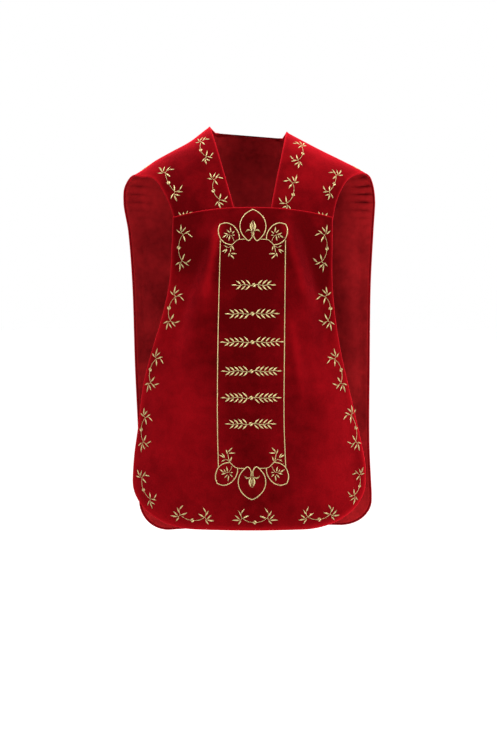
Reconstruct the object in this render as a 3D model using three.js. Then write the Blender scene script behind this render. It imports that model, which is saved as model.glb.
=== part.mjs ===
import * as THREE from 'three';

// Roman chasuble in its worn form. Millimetres, +Z up, +X to the viewer's right, the front faces -Y.
// The origin is mid neck, level with the neck-side edges that rest on the shoulders.

// Cloth
const VELVET_WALL = 2.0;
const LINING_WALL = 1.0;
const SEAM_GAP = 0.3;
const LINING_INSET = 5;
const OVERLAP_LIFT = 3.0;

// Shoulder line: height of the ridge at each place across.
const SHOULDER_LINE = [
  { x: -340, height: -145 },
  { x: -307, height: -124 },
  { x: -280, height: -108.5 },
  { x: -242, height: -82 },
  { x: -206, height: -61.8 },
  { x: -153, height: -33 },
  { x: -103, height: 4 },
  { x: -60, height: 22 },
  { x: 0, height: 28 },
  { x: 60, height: 11 },
  { x: 89, height: -9 },
  { x: 130, height: -31.3 },
  { x: 181, height: -57.5 },
  { x: 234, height: -83.3 },
  { x: 280, height: -107 },
  { x: 307, height: -126 },
  { x: 340, height: -151 },
];
const RIDGE_DEPTH = 8;
const FRONT_TURN = 55;
const BACK_TURN = 60;

// Worn form: depth of the outer face in the middle and at SIDE_HALF, at each height.
const SIDE_HALF = 200;
const SIDE_POWER = 1.9;
const FRONT_FORM = [
  { z: 40, mid: -66, side: -60 },
  { z: 0, mid: -78, side: -68 },
  { z: -100, mid: -108, side: -84 },
  { z: -205, mid: -134, side: -98 },
  { z: -320, mid: -146, side: -100 },
  { z: -450, mid: -154, side: -102 },
  { z: -600, mid: -164, side: -110 },
  { z: -800, mid: -166, side: -116 },
  { z: -1000, mid: -158, side: -112 },
];
const BACK_FORM = [
  { z: 40, mid: 88, side: 72 },
  { z: 0, mid: 98, side: 80 },
  { z: -100, mid: 118, side: 92 },
  { z: -200, mid: 129, side: 100 },
  { z: -400, mid: 132, side: 104 },
  { z: -700, mid: 142, side: 112 },
  { z: -1060, mid: 154, side: 122 },
];

// Edges, as half-widths on the viewer's left and right. A drop is measured from the shoulder line,
// less than zero in front of it.
const NECK_TOP = { left: 103, right: 89 };
const NECK_FRONT = { left: 35, right: 42, drop: -258 };
const NECK_BACK = { left: 90, right: 80, drop: 18 };
const ARM_EDGE = [
  { drop: -200, left: 188, right: 197 },
  { drop: -168, left: 193, right: 202 },
  { drop: -120, left: 208, right: 211 },
  { drop: -84, left: 223, right: 223 },
  { drop: -52, left: 240, right: 238 },
  { drop: -34, left: 256, right: 251 },
  { drop: -20, left: 274, right: 265 },
  { drop: -7, left: 288, right: 282 },
  { drop: 0, left: 303, right: 299 },
  { drop: 8, left: 317.5, right: 308.5 },
  { drop: 18, left: 323, right: 312.5 },
  { drop: 33, left: 325, right: 315.5 },
  { drop: 52, left: 325, right: 317 },
];
const ARM_FRONT_DROP = -198;
const ARM_BACK_DROP = 52;
const BACK_EDGE = [
  { z: -150, left: 324, right: 317 },
  { z: -190, left: 325, right: 317 },
  { z: -260, left: 314, right: 313.5 },
  { z: -400, left: 304.5, right: 307.5 },
  { z: -600, left: 299, right: 306 },
  { z: -800, left: 291, right: 306 },
  { z: -930, left: 290, right: 312.5 },
];
const BACK_HEM = { z: -1025, tilt: 0.03, across: 80, up_left: 84, up_right: 68, widest_z: -930 };
const FRONT_EDGE = [
  { z: -200, left: 192, right: 202 },
  { z: -300, left: 196, right: 201 },
  { z: -380, left: 201, right: 201 },
  { z: -460, left: 217, right: 207 },
  { z: -557, left: 246, right: 222 },
  { z: -641, left: 268, right: 241 },
  { z: -751, left: 282.5, right: 267 },
  { z: -809, left: 291, right: 280 },
  { z: -845, left: 294.5, right: 286 },
  { z: -880, left: 296.5, right: 286.5 },
];
const FRONT_TOP = { z: -205, corner_fall: 23, power: 2.3 };
const FRONT_HEM = { z: -997.5, tilt: 0, across: 156, up_left: 112, up_right: 110, widest_z: -880 };

// Largest folds: a soft ridge (rise over 0) or trough between two points on a panel.
const FRONT_FOLDS = [
  { x0: -84, z0: -250, x1: -150, z1: -560, wide: 34, rise: 9 },
  { x0: 92, z0: -245, x1: 150, z1: -540, wide: 32, rise: 8 },
  { x0: -168, z0: -330, x1: -186, z1: -560, wide: 30, rise: -7 },
  { x0: 166, z0: -330, x1: 182, z1: -560, wide: 30, rise: -6 },
  { x0: -205, z0: -640, x1: -232, z1: -930, wide: 42, rise: 6 },
  { x0: -118, z0: -620, x1: -112, z1: -960, wide: 36, rise: -5 },
  { x0: 190, z0: -640, x1: 214, z1: -930, wide: 38, rise: 5 },
  { x0: 124, z0: -640, x1: 130, z1: -960, wide: 34, rise: -4 },
];
const BACK_FOLDS = [
  { x0: -122, z0: -230, x1: -176, z1: -980, wide: 44, rise: 8 },
  { x0: -40, z0: -330, x1: -58, z1: -1020, wide: 40, rise: -6 },
  { x0: 46, z0: -380, x1: 66, z1: -1020, wide: 38, rise: -5 },
  { x0: 130, z0: -240, x1: 188, z1: -980, wide: 46, rise: 8 },
  { x0: -236, z0: -330, x1: -244, z1: -860, wide: 34, rise: -5 },
  { x0: 240, z0: -300, x1: 252, z1: -860, wide: 34, rise: -6 },
];

// Grid: how many cells each way.
const WING_COLUMNS = 12;
const NECK_COLUMNS = 10;
const WING_ROWS = 10;
const TOP_ROWS = 4;
const BACK_ROWS = 22;
const FRONT_COLUMNS = 28;
const FRONT_ROWS = 24;
const EDGE_CROWDING = 0.6;
const WING_ROW_POWER = 1.7;

const COLOURS = { velvet: 0x8c1119, lining: 0xa3231f };

// Smooth curve through a table's rows, read at one column and giving another.
function curve(rows, from, to, at) {
  const forward = rows[0][from] < rows[rows.length - 1][from] ? rows : [...rows].reverse();
  const last = forward.length - 1;
  const value = Math.min(Math.max(at, forward[0][from]), forward[last][from]);
  let i = 0;
  while (i < last - 1 && value > forward[i + 1][from]) i += 1;
  const slope = (k) => {
    const a = forward[Math.max(k - 1, 0)];
    const b = forward[Math.min(k + 1, last)];
    return (b[to] - a[to]) / (b[from] - a[from]);
  };
  const span = forward[i + 1][from] - forward[i][from];
  const t = (value - forward[i][from]) / span;
  const start = forward[i][to] * (2 * t ** 3 - 3 * t ** 2 + 1) + slope(i) * span * (t ** 3 - 2 * t ** 2 + t);
  const end = forward[i + 1][to] * (3 * t ** 2 - 2 * t ** 3) + slope(i + 1) * span * (t ** 3 - t ** 2);
  return start + end;
}

function shoulderHeight(x) {
  return curve(SHOULDER_LINE, 'x', 'height', x);
}

// A fold: a bell-shaped section along a line, fading out at both ends.
function foldRise(folds, x, z) {
  let rise = 0;
  for (const f of folds) {
    const along = (z - f.z0) / (f.z1 - f.z0);
    const fade = Math.exp(-((2 * Math.max(0, Math.abs(along - 0.5) - 0.35) / 0.3) ** 2));
    const off = (x - f.x0 - (f.x1 - f.x0) * along) / f.wide;
    rise += f.rise * fade * Math.exp(-(off ** 2));
  }
  return rise;
}

function formDepth(rows, x, z) {
  const mid = curve(rows, 'z', 'mid', z);
  const side = curve(rows, 'z', 'side', z);
  return mid + (side - mid) * (Math.abs(x) / SIDE_HALF) ** SIDE_POWER;
}

// Outer face of the cloth on each side of the shoulder line.
function frontDepth(x, z) {
  const turn = Math.sqrt(1 - Math.exp(-Math.max(shoulderHeight(x) - z, 0) / FRONT_TURN));
  return RIDGE_DEPTH + (formDepth(FRONT_FORM, x, z) - foldRise(FRONT_FOLDS, x, z) - RIDGE_DEPTH) * turn;
}

function backDepth(x, z) {
  const turn = Math.sqrt(1 - Math.exp(-Math.max(shoulderHeight(x) - z, 0) / BACK_TURN));
  return RIDGE_DEPTH + (formDepth(BACK_FORM, x, z) + foldRise(BACK_FOLDS, x, z) - RIDGE_DEPTH) * turn;
}

// Height of a hem at a place across, rounded up to the side edges.
function hemHeight(hem, x, half) {
  const past = Math.max(0, Math.abs(x) - (half - hem.across)) / hem.across;
  const up = x < 0 ? hem.up_left : hem.up_right;
  return hem.z + hem.tilt * x + up * (1 - Math.sqrt(Math.max(0, 1 - past ** 2)));
}

// Share of a width at a column, closer together toward the edge.
function crowd(share) {
  return (1 - EDGE_CROWDING) * share + EDGE_CROWDING * Math.sin((Math.PI / 2) * share);
}

const rootOf = (drop) => Math.sign(drop) * Math.sqrt(Math.abs(drop));

// A wing row: from the neck edge to the arm edge at one share of the way round the shoulder.
function wingPoint(side, share, row) {
  const front = row < WING_ROWS;
  const way = front ? (1 - row / WING_ROWS) ** WING_ROW_POWER : ((row - WING_ROWS) / TOP_ROWS) ** 2;
  const neck = front ? NECK_FRONT : NECK_BACK;
  const armDrop = way * (front ? ARM_FRONT_DROP : ARM_BACK_DROP);
  const hand = side < 0 ? 'left' : 'right';
  const neckHalf = NECK_TOP[hand] + (neck[hand] - NECK_TOP[hand]) * way;
  const roots = ARM_EDGE.map((edge) => ({ ...edge, root: rootOf(edge.drop) }));
  const armHalf = curve(roots, 'root', hand, rootOf(armDrop));
  const x = side * (neckHalf + (armHalf - neckHalf) * share);
  const root = rootOf(neck.drop * way) * (1 - share) + rootOf(armDrop) * share;
  const z = shoulderHeight(x) - root ** 2;
  return new THREE.Vector3(x, root < 0 ? frontDepth(x, z) : backDepth(x, z), z);
}

// The neck edge behind the nape, from one wing to the other.
function nape(column) {
  const across = (column - WING_COLUMNS) / NECK_COLUMNS;
  const left = wingPoint(-1, 0, WING_ROWS + TOP_ROWS);
  const right = wingPoint(1, 0, WING_ROWS + TOP_ROWS);
  return left.lerp(right, across);
}

// The row where the back panel starts below the neck, then straight down to the hem.
function backPoint(column, row) {
  const lastWing = WING_COLUMNS + NECK_COLUMNS;
  const side = column < WING_COLUMNS + NECK_COLUMNS / 2 ? -1 : 1;
  const hand = side < 0 ? 'left' : 'right';
  const count = side < 0 ? WING_COLUMNS - column : column - lastWing;
  const top = WING_ROWS + TOP_ROWS;
  if (count >= 0 && row <= top) return wingPoint(side, crowd(count / WING_COLUMNS), row);
  const start = count >= 0 ? wingPoint(side, crowd(count / WING_COLUMNS), top) : nape(column);
  const down = (row - top) / BACK_ROWS;
  const share = start.x / curve(BACK_EDGE, 'z', hand, BACK_EDGE[1].z);
  const widest = curve(BACK_EDGE, 'z', hand, BACK_HEM.widest_z);
  const z = start.z + (hemHeight(BACK_HEM, share * widest, widest) - start.z) * down;
  const x = share * curve(BACK_EDGE, 'z', hand, Math.min(z, BACK_EDGE[1].z));
  return new THREE.Vector3(x, backDepth(x, z), z);
}

function frontPoint(column, row) {
  const across = (column / FRONT_COLUMNS) * 2 - 1;
  const edge = across < 0 ? 'left' : 'right';
  const share = Math.sign(across) * crowd(Math.abs(across));
  const widest = curve(FRONT_EDGE, 'z', edge, FRONT_HEM.widest_z);
  const top = FRONT_TOP.z - FRONT_TOP.corner_fall * Math.abs(share) ** FRONT_TOP.power;
  const hem = hemHeight(FRONT_HEM, share * widest, widest);
  const z = hem + (top - hem) * (row / FRONT_ROWS);
  const x = share * curve(FRONT_EDGE, 'z', edge, z);
  return new THREE.Vector3(x, frontDepth(x, z) - OVERLAP_LIFT, z);
}

// A sheet is a grid of points and which of its cells hold cloth.
function sheet(columns, rows, pointAt, cellAt) {
  const points = [];
  for (let c = 0; c <= columns; c += 1) {
    for (let r = 0; r <= rows; r += 1) {
      const touched = [[c, r], [c - 1, r], [c, r - 1], [c - 1, r - 1]].some(([i, j]) => hasCell(i, j));
      points.push(touched ? pointAt(c, r) : null);
    }
  }
  function hasCell(c, r) {
    return c >= 0 && r >= 0 && c < columns && r < rows && cellAt(c, r);
  }
  return { columns, rows, points, hasCell, index: (c, r) => c * (rows + 1) + r };
}

// Directions out of the sheet, lengthened where it bends so that an offset keeps its thickness.
function sheetNormals(s) {
  const faces = s.points.map(() => []);
  for (let c = 0; c < s.columns; c += 1) {
    for (let r = 0; r < s.rows; r += 1) {
      if (!s.hasCell(c, r)) continue;
      const ring = [s.index(c, r), s.index(c + 1, r), s.index(c + 1, r + 1), s.index(c, r + 1)];
      for (const corners of [[ring[0], ring[1], ring[2]], [ring[0], ring[2], ring[3]]]) {
        const [a, b, d] = corners.map((i) => s.points[i]);
        const face = new THREE.Vector3().subVectors(b, a).cross(new THREE.Vector3().subVectors(d, a));
        corners.forEach((i) => faces[i].push(face.clone().normalize()));
      }
    }
  }
  return faces.map((around) => {
    const out = around.reduce((sum, face) => sum.add(face), new THREE.Vector3()).normalize();
    const least = Math.min(1, ...around.map((face) => face.dot(out)));
    return out.divideScalar(Math.max(least, 0.7));
  });
}

// The sheet's face at a depth below its outer face, with its free edges drawn in by an inset.
function faceAt(s, normals, depth, inset) {
  const face = s.points.map((p, i) => (p ? p.clone().addScaledVector(normals[i], -depth) : null));
  if (!inset) return face;
  const moved = face.map((p) => (p ? p.clone() : null));
  for (let c = 0; c <= s.columns; c += 1) {
    for (let r = 0; r <= s.rows; r += 1) {
      const from = face[s.index(c, r)];
      if (!from) continue;
      const cells = [s.hasCell(c - 1, r - 1), s.hasCell(c, r - 1), s.hasCell(c - 1, r), s.hasCell(c, r)];
      const notch = cells.filter(Boolean).length === 3;
      const right = notch ? 0 : Number(cells[1]) + Number(cells[3]) - Number(cells[0]) - Number(cells[2]);
      const up = Number(cells[2]) + Number(cells[3]) - Number(cells[0]) - Number(cells[1]);
      for (const [dc, dr] of [[Math.sign(right), 0], [0, Math.sign(up)]]) {
        if (!dc && !dr) continue;
        const to = new THREE.Vector3().subVectors(face[s.index(c + dc, r + dr)], from);
        moved[s.index(c, r)].addScaledVector(to.normalize(), inset);
      }
    }
  }
  return moved;
}

// A closed wall between two faces of a sheet, at given depths below its outer face.
function wall(name, s, normals, { outer, inner, inset }, colour) {
  const position = [];
  const index = [];
  const place = [outer, inner].map((depth) => faceAt(s, normals, depth, inset).map((p) => {
    if (!p) return -1;
    position.push(p.x, p.y, p.z);
    return position.length / 3 - 1;
  }));
  const quad = (a, b, c, d) => index.push(a, b, c, a, c, d);
  for (let c = 0; c < s.columns; c += 1) {
    for (let r = 0; r < s.rows; r += 1) {
      if (!s.hasCell(c, r)) continue;
      const ring = [s.index(c, r), s.index(c + 1, r), s.index(c + 1, r + 1), s.index(c, r + 1)];
      const beyond = [[c, r - 1], [c + 1, r], [c, r + 1], [c - 1, r]];
      quad(...ring.map((i) => place[0][i]));
      const [ia, ib, ic, id] = ring.map((i) => place[1][i]);
      index.push(ia, ic, ib, ia, id, ic);
      beyond.forEach(([bc, br], k) => {
        if (s.hasCell(bc, br)) return;
        const from = ring[k];
        const to = ring[(k + 1) % 4];
        quad(place[0][to], place[0][from], place[1][from], place[1][to]);
      });
    }
  }
  const geometry = new THREE.BufferGeometry();
  geometry.setAttribute('position', new THREE.Float32BufferAttribute(position, 3));
  geometry.setIndex(index);
  geometry.computeVertexNormals();
  const material = new THREE.MeshStandardMaterial({ color: colour, roughness: 0.85 });
  const mesh = new THREE.Mesh(geometry, material);
  mesh.name = name;
  return mesh;
}

const columns = WING_COLUMNS * 2 + NECK_COLUMNS;
const topRow = WING_ROWS + TOP_ROWS;
const inWing = (c) => c < WING_COLUMNS || c >= WING_COLUMNS + NECK_COLUMNS;
const back = sheet(columns, topRow + BACK_ROWS, backPoint, (c, r) => r >= topRow || inWing(c));
const backNormals = sheetNormals(back);
const front = sheet(FRONT_COLUMNS, FRONT_ROWS, frontPoint, () => true);
const velvet = { outer: 0, inner: VELVET_WALL, inset: 0 };
const liningTop = VELVET_WALL + SEAM_GAP;
const lining = { outer: liningTop, inner: liningTop + LINING_WALL, inset: LINING_INSET };

const chasuble = new THREE.Group();
chasuble.name = 'roman_chasuble';
chasuble.add(wall('back_panel', back, backNormals, velvet, COLOURS.velvet));
chasuble.add(wall('back_lining', back, backNormals, lining, COLOURS.lining));
chasuble.add(wall('front_panel', front, sheetNormals(front), velvet, COLOURS.velvet));

export default chasuble;
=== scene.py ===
import math

import bpy
import numpy as np
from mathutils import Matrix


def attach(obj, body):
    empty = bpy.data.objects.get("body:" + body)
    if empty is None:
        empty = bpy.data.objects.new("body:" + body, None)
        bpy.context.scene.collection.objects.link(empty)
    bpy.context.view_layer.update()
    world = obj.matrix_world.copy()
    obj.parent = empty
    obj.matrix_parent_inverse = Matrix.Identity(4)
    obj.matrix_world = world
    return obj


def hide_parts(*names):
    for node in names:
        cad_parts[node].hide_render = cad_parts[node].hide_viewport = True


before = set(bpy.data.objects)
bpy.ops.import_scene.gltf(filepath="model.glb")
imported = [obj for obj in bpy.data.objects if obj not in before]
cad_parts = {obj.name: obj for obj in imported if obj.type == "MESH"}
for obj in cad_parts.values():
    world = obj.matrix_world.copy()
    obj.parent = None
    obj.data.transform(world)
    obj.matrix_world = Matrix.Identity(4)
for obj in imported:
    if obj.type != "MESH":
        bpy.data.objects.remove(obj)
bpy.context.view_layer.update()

MM = 0.001

# Camera, measured from the photograph: its height in pixels, the scale at the body, and the
# pixel row of the horizon
PHOTO_HEIGHT = 750
PIXEL_MM = 2.53
HORIZON_ROW = 299.0
CAMERA_AWAY_MM = 4500.0
CAMERA_X_MM = -6.3
CAMERA_Z_MM = -430.0
FLOOR_Z_MM = -1540.0
FLOOR_HALF = 60.0
# Lamps: place and aim in metres, side of the square in metres, and watts
LAMPS = (
    ("top", (0.4, -0.5, 2.3), (0, 0, -0.3), 2.0, 240),
    ("left", (-3.0, -2.0, 1.2), (0, 0, -0.5), 1.5, 60),
    ("right", (3.2, -1.8, 0.8), (0, 0, -0.5), 1.5, 75),
)

# Cloth, in mm
VELVET_THICK = 2.0
LINING_THICK = 1.0
SEAM_GAP = 0.3
LINING_INSET = 5.5
OVERLAP_LIFT = 3.0
EDGE_ROLL = 2.1
EDGE_BLEND = 2.6

# The garment's worn form, the same sizes as its solids
RIDGE_DEPTH = 8.0
FRONT_TURN = 55.0
BACK_TURN = 60.0
SIDE_HALF = 200.0
SIDE_POWER = 1.9
SHOULDER_LINE = {
    "x": (-340, -307, -280, -242, -206, -153, -103, -60, 0, 60, 89, 130, 181, 234, 280, 307, 340),
    "height": (-145, -124, -108.5, -82, -61.8, -33, 4, 22, 28, 11, -9, -31.3, -57.5, -83.3, -107, -126, -151),
}
FRONT_FORM = {
    "z": (-1000, -800, -600, -450, -320, -205, -100, 0, 40),
    "mid": (-158, -166, -164, -154, -146, -134, -108, -78, -66),
    "side": (-112, -116, -110, -102, -100, -98, -84, -68, -60),
}
BACK_FORM = {
    "z": (-1060, -700, -400, -200, -100, 0, 40),
    "mid": (154, 142, 132, 129, 118, 98, 88),
    "side": (122, 112, 104, 100, 92, 80, 72),
}
NECK_TOP = {"left": 103.0, "right": 89.0}
NECK_FRONT = {"left": 35.0, "right": 42.0, "drop": -258.0}
NECK_BACK = {"left": 90.0, "right": 80.0, "drop": 18.0}
ARM_EDGE = {
    "drop": (-200, -168, -120, -84, -52, -34, -20, -7, 0, 8, 18, 33, 52),
    "left": (188, 193, 208, 223, 240, 256, 274, 288, 303, 317.5, 323, 325, 325),
    "right": (197, 202, 211, 223, 238, 251, 265, 282, 299, 308.5, 312.5, 315.5, 317),
}
ARM_FRONT_DROP = -198.0
ARM_BACK_DROP = 52.0
BACK_EDGE = {
    "z": (-930, -800, -600, -400, -260, -190, -150),
    "left": (290, 291, 299, 304.5, 314, 325, 324),
    "right": (312.5, 306, 306, 307.5, 313.5, 317, 317),
}
BACK_START_Z = -190.0
BACK_HEM = {"z": -1025, "tilt": 0.03, "across": 80, "up_left": 84, "up_right": 68, "widest_z": -930}
FRONT_EDGE = {
    "z": (-880, -845, -809, -751, -641, -557, -460, -380, -300, -200),
    "left": (296.5, 294.5, 291, 282.5, 268, 246, 217, 201, 196, 192),
    "right": (286.5, 286, 280, 267, 241, 222, 207, 201, 201, 202),
}
FRONT_TOP = {"z": -205.0, "corner_fall": 23.0, "power": 2.3}
FRONT_HEM = {"z": -997.5, "tilt": 0.0, "across": 156, "up_left": 112, "up_right": 110, "widest_z": -880}

# Folds: x and z at the upper end, x and z at the lower end, half-width, rise (a trough below 0)
FRONT_FOLDS = (
    (-84, -250, -150, -560, 34, 9),
    (92, -245, 150, -540, 32, 8),
    (-168, -330, -186, -560, 30, -7),
    (166, -330, 182, -560, 30, -6),
    (-205, -640, -232, -930, 42, 6),
    (-118, -620, -112, -960, 36, -5),
    (190, -640, 214, -930, 38, 5),
    (124, -640, 130, -960, 34, -4),
)
BACK_FOLDS = (
    (-122, -230, -176, -980, 44, 8),
    (-40, -330, -58, -1020, 40, -6),
    (46, -380, 66, -1020, 38, -5),
    (130, -240, 188, -980, 46, 8),
    (-236, -330, -244, -860, 34, -5),
    (240, -300, 252, -860, 34, -6),
)
# Soft creases, on top of the folds above
FRONT_CREASES = (
    (-80, -250, -116, -440, 13, 4.8),
    (-112, -290, -172, -480, 15, -3.6),
    (85, -240, 134, -430, 14, 4.6),
    (122, -256, 176, -450, 15, -3.6),
    (-20, -300, -12, -640, 22, -1.5),
    (40, -330, 36, -700, 20, 1.2),
    (-240, -690, -262, -900, 16, 1.6),
    (-166, -700, -158, -940, 20, 1.8),
    (150, -690, 168, -950, 18, 1.6),
    (99, -430, 130, -670, 13, 3.2),
    (80, -440, 96, -660, 14, -2.2),
    (-92, -470, -104, -720, 15, -2.2),
    (238, -700, 262, -900, 14, -1.4),
    (-30, -760, -36, -975, 26, 1.5),
    (66, -740, 74, -970, 24, -1.4),
    (-150, -70, -120, -215, 14, 1.6),
    (-205, -80, -160, -240, 13, -1.5),
    (110, -40, 82, -215, 12, 1.6),
    (190, -80, 150, -235, 14, 1.4),
    (232, -100, 196, -215, 11, -1.3),
    (-248, -100, -208, -210, 11, 1.2),
)
BACK_CREASES = (
    (-150, -150, -214, -560, 15, 2.0),
    (-86, -200, -110, -760, 18, -1.8),
    (-6, -160, 4, -900, 24, 1.6),
    (92, -220, 120, -700, 17, -1.8),
    (168, -150, 226, -600, 15, 2.0),
    (-270, -240, -282, -700, 13, 1.6),
    (276, -230, 286, -720, 13, 1.5),
    (-200, -620, -214, -990, 20, -1.8),
    (214, -640, 222, -980, 20, -1.6),
    (-120, -700, -126, -1010, 22, 1.6),
    (120, -720, 128, -1010, 22, 1.5),
)

# Painted light and shade: patches painted lighter, or darker below 0, as x, z, half-width,
# half-height and strength; the turned edges get the brightest painted sheen
FRONT_PAINTED_LIGHT = (
    (0, -300, 240, 130, -1.0),
    (0, -540, 80, 190, -1.2),
    (-165, -320, 50, 110, -0.5),
    (168, -310, 62, 110, -0.8),
    (-185, -790, 85, 180, 1.0),
    (220, -790, 60, 200, 1.2),
)
WING_PAINTED_LIGHT = (
    (-140, -140, 100, 100, -1.1),
    (230, -60, 90, 60, 0.4),
    (-235, -60, 70, 40, 0.3),
    (120, -200, 110, 60, -0.6),
)
# Painted highlights along the two main ridges of the front: ends as x and z, half-width, strength
FRONT_RIDGE_HIGHLIGHTS = (
    (-80, -255, -114, -425, 10, 2.2),
    (85, -245, 133, -425, 11, 1.4),
    (99, -470, 128, -670, 9, 1.0),
)
# Painted sheen along the front panel's sides and hem, this many mm wide, stronger below LOW_START
SIDE_SHEEN_WIDE = 9.0
LOW_START = -560.0
TURN_START = -235.0
# Painted light and shade on the back, in the same columns
BACK_PAINTED_LIGHT = (
    (0, -540, 110, 330, -0.35),
    (-200, -760, 70, 220, 0.3),
    (205, -700, 70, 230, 0.3),
    (-140, -240, 60, 120, 0.25),
    (150, -260, 55, 110, 0.25),
)
# Painted light and shade on the lining, in the same columns; LINING_LIFT is added all over
LINING_PAINTED_LIGHT = (
    (-300, -190, 60, 150, 0.3),
    (300, -190, 60, 150, 1.3),
    (-270, -960, 60, 70, 0.8),
    (270, -960, 60, 70, 0.8),
)
LINING_LIFT = 0.1
# Where the lining is gathered, as patches too
LINING_GATHERS = (
    (-290, -160, 26, 55, 0.4),
    (290, -160, 26, 55, 1.0),
)
# Painted sheen on the turned edges: half-width, and how brightly it shows; the front's below LOW_START, by
# side
EDGE_SHEEN_WIDE = 2.8
EDGE_SHOWS = 0.45
FRONT_EDGE_SHOWS = {"left": 0.12, "right": 0.5, "right_from": 150}

# Embroidery: each border sprig by x and z of its two leaf clusters, and how far its stem bows
# to the left of the way from the first to the second (below 0 to the right)
FRONT_SPRIGS = (
    (-167, -271, -169, -337, 1),
    (-186, -424, -199, -484, 1),
    (-234, -578, -249, -638, 1),
    (-263, -725, -267, -786, 1),
    (-271, -874, -250, -927, 1),
    (-175, -962, -114, -966, 1),
    (-22, -966, 40, -966, 1),
    (139, -965, 196, -961, 1),
    (180, -272, 174, -338, -1),
    (183, -424, 189, -484, -1),
    (206, -578, 222, -638, -1),
    (248, -718, 260, -785, -0.8),
    (270, -868, 256, -918, -1),
)
WING_SPRIGS = (
    (-123, -38, -110, -78, 1),
    (-90, -136, -76, -187, 1),
    (-213, -116, -188, -165, 0.45),
    (124, -47, 115, -87, -1),
    (102, -144, 86, -196, -1),
    (212, -122, 193, -165, -0.45),
)
# Sprigs that the front panel's top edge half covers: x and z of the cluster and its hand, and
# the leaves' base and tip from there and width
COVERED_SPRIGS = ((-164.5, -230, 1), (174.5, -232, -1))
COVERED_LEAVES = (
    (-6.5, 3.0, -15.4, 14.9, 4.6),
    (-1.7, 3.5, -2.2, 14.9, 4.6),
    (4.2, 5.0, 9.6, 16.9, 4.4),
    (9.0, 8.0, 21.3, 12.0, 4.2),
)
# The back's border: how far inside the edge it runs, its first places over the shoulder (x as
# seen on the right, length along the cloth from the ridge), and the distance between sprigs
BORDER_INSET = 27.0
BORDER_START = ((266.0, 4.0), (277.0, 26.0), (288.0, 58.0))
BORDER_PITCH = 141.0
SPRIG_LONG = 61.0
SPRIG_SAG = 11.0
FRAME_WIDE = 2.2
ARC_WIDE = 1.5
STEM_WIDE = 0.95
LEAF_FULLNESS = 0.72
KNOT_RADIUS = 4.7

# Colours, as linear red, green and blue
# Velvet and lining each have a dark and a light shade, mixed by random tone and by painted light and shade
VELVET_DARK = (0.034, 0.0003, 0.0006, 1)
VELVET_LIGHT = (0.118, 0.0012, 0.0024, 1)
# The velvet's edge colour is a painted sheen on its turned edges
VELVET_EDGE_SHEEN = (0.270, 0.0035, 0.0070, 1)
LINING_DARK = (0.060, 0.0018, 0.0024, 1)
LINING_LIGHT = (0.260, 0.0080, 0.0100, 1)
# The gold's two shades are mixed by painted highlights on the thread
GOLD_DARK = (0.145, 0.103, 0.028, 1)
GOLD_LIGHT = (0.44, 0.38, 0.165, 1)

# The column's frame: the middle and half-width of its two lines at heights z
COLUMN = {
    "z": (-850, -726, -560, -396, -288),
    "half": (82.5, 81.5, 81.5, 80.5, 79.5),
    "mid": (2.5, -1.0, 0.0, 2.5, 4.5),
}
# Where the column's two looped ends stand: z at the top and at the base, whose loops are larger
FRONT_COLUMN = (-285.0, -842.5)
BACK_COLUMN = (-196.0, -858.0)
COLUMN_BASE_SCALE = 1.06
# Leaf sprays in the column: x, z and length on the front; the back's are evenly spaced
ROW_SPRAYS = (
    (7, -396, 92),
    (3, -466, 118),
    (3, -535, 142),
    (1, -606, 132),
    (0, -671, 132),
    (-1, -735, 108),
)
BACK_ROWS = {"count": 6, "z": -318.0, "pitch": 84.0, "long": (132, 116)}
NAPE_SPRIG = {"z": -48.0, "from": 30.0, "to": -31.0}
ACROSS = np.array([1.0, 0, 0])


def curve(table, key, value, at):
    """A smooth curve through a table's columns: cubic Hermite pieces whose slopes are the
    difference of the two neighbours, held at the end values outside."""
    xs = np.asarray(table[key], float)
    ys = np.asarray(table[value], float)
    at = np.clip(np.asarray(at, float), xs[0], xs[-1])
    i = np.clip(np.searchsorted(xs, at, side="left") - 1, 0, len(xs) - 2)
    low = np.maximum(np.arange(len(xs)) - 1, 0)
    high = np.minimum(np.arange(len(xs)) + 1, len(xs) - 1)
    slope = (ys[high] - ys[low]) / (xs[high] - xs[low])
    span = xs[i + 1] - xs[i]
    t = (at - xs[i]) / span
    start = ys[i] * (2 * t**3 - 3 * t**2 + 1) + slope[i] * span * (t**3 - 2 * t**2 + t)
    end = ys[i + 1] * (3 * t**2 - 2 * t**3) + slope[i + 1] * span * (t**3 - t**2)
    return start + end


def shoulder_height(x):
    """Height of the shoulder ridge at x, from its table."""
    return curve(SHOULDER_LINE, "x", "height", x)


def fold_rise(folds, x, z):
    """Sum of folds: each is a bell of its half-width across its line, faded at both ends."""
    rise = np.zeros(np.broadcast(x, z).shape)
    for x0, z0, x1, z1, wide, high in folds:
        along = (z - z0) / (z1 - z0)
        fade = np.exp(-((2 * np.maximum(0, np.abs(along - 0.5) - 0.35) / 0.3) ** 2))
        off = (x - x0 - (x1 - x0) * along) / wide
        rise += high * fade * np.exp(-(off**2))
    return rise


def form_depth(form, x, z):
    """Depth of a form's section at height z: the middle depth plus a power of the distance
    from the middle."""
    mid = curve(form, "z", "mid", z)
    side = curve(form, "z", "side", z)
    return mid + (side - mid) * (np.abs(x) / SIDE_HALF) ** SIDE_POWER


def turned(depth, x, z, turn):
    """A leg's depth eased into the ridge: the root of one minus an exponential of the drop."""
    drop = np.maximum(shoulder_height(x) - z, 0)
    return RIDGE_DEPTH + (depth - RIDGE_DEPTH) * np.sqrt(1 - np.exp(-drop / turn))


def front_depth(x, z):
    """Outer face in front of the ridge: the front form less its folds and creases."""
    out = fold_rise(FRONT_FOLDS, x, z) + fold_rise(FRONT_CREASES, x, z)
    return turned(form_depth(FRONT_FORM, x, z) - out, x, z, FRONT_TURN)


def back_depth(x, z):
    """Outer face behind the ridge: the back form plus its folds and creases."""
    out = fold_rise(BACK_FOLDS, x, z) + fold_rise(BACK_CREASES, x, z)
    return turned(form_depth(BACK_FORM, x, z) + out, x, z, BACK_TURN)


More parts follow.
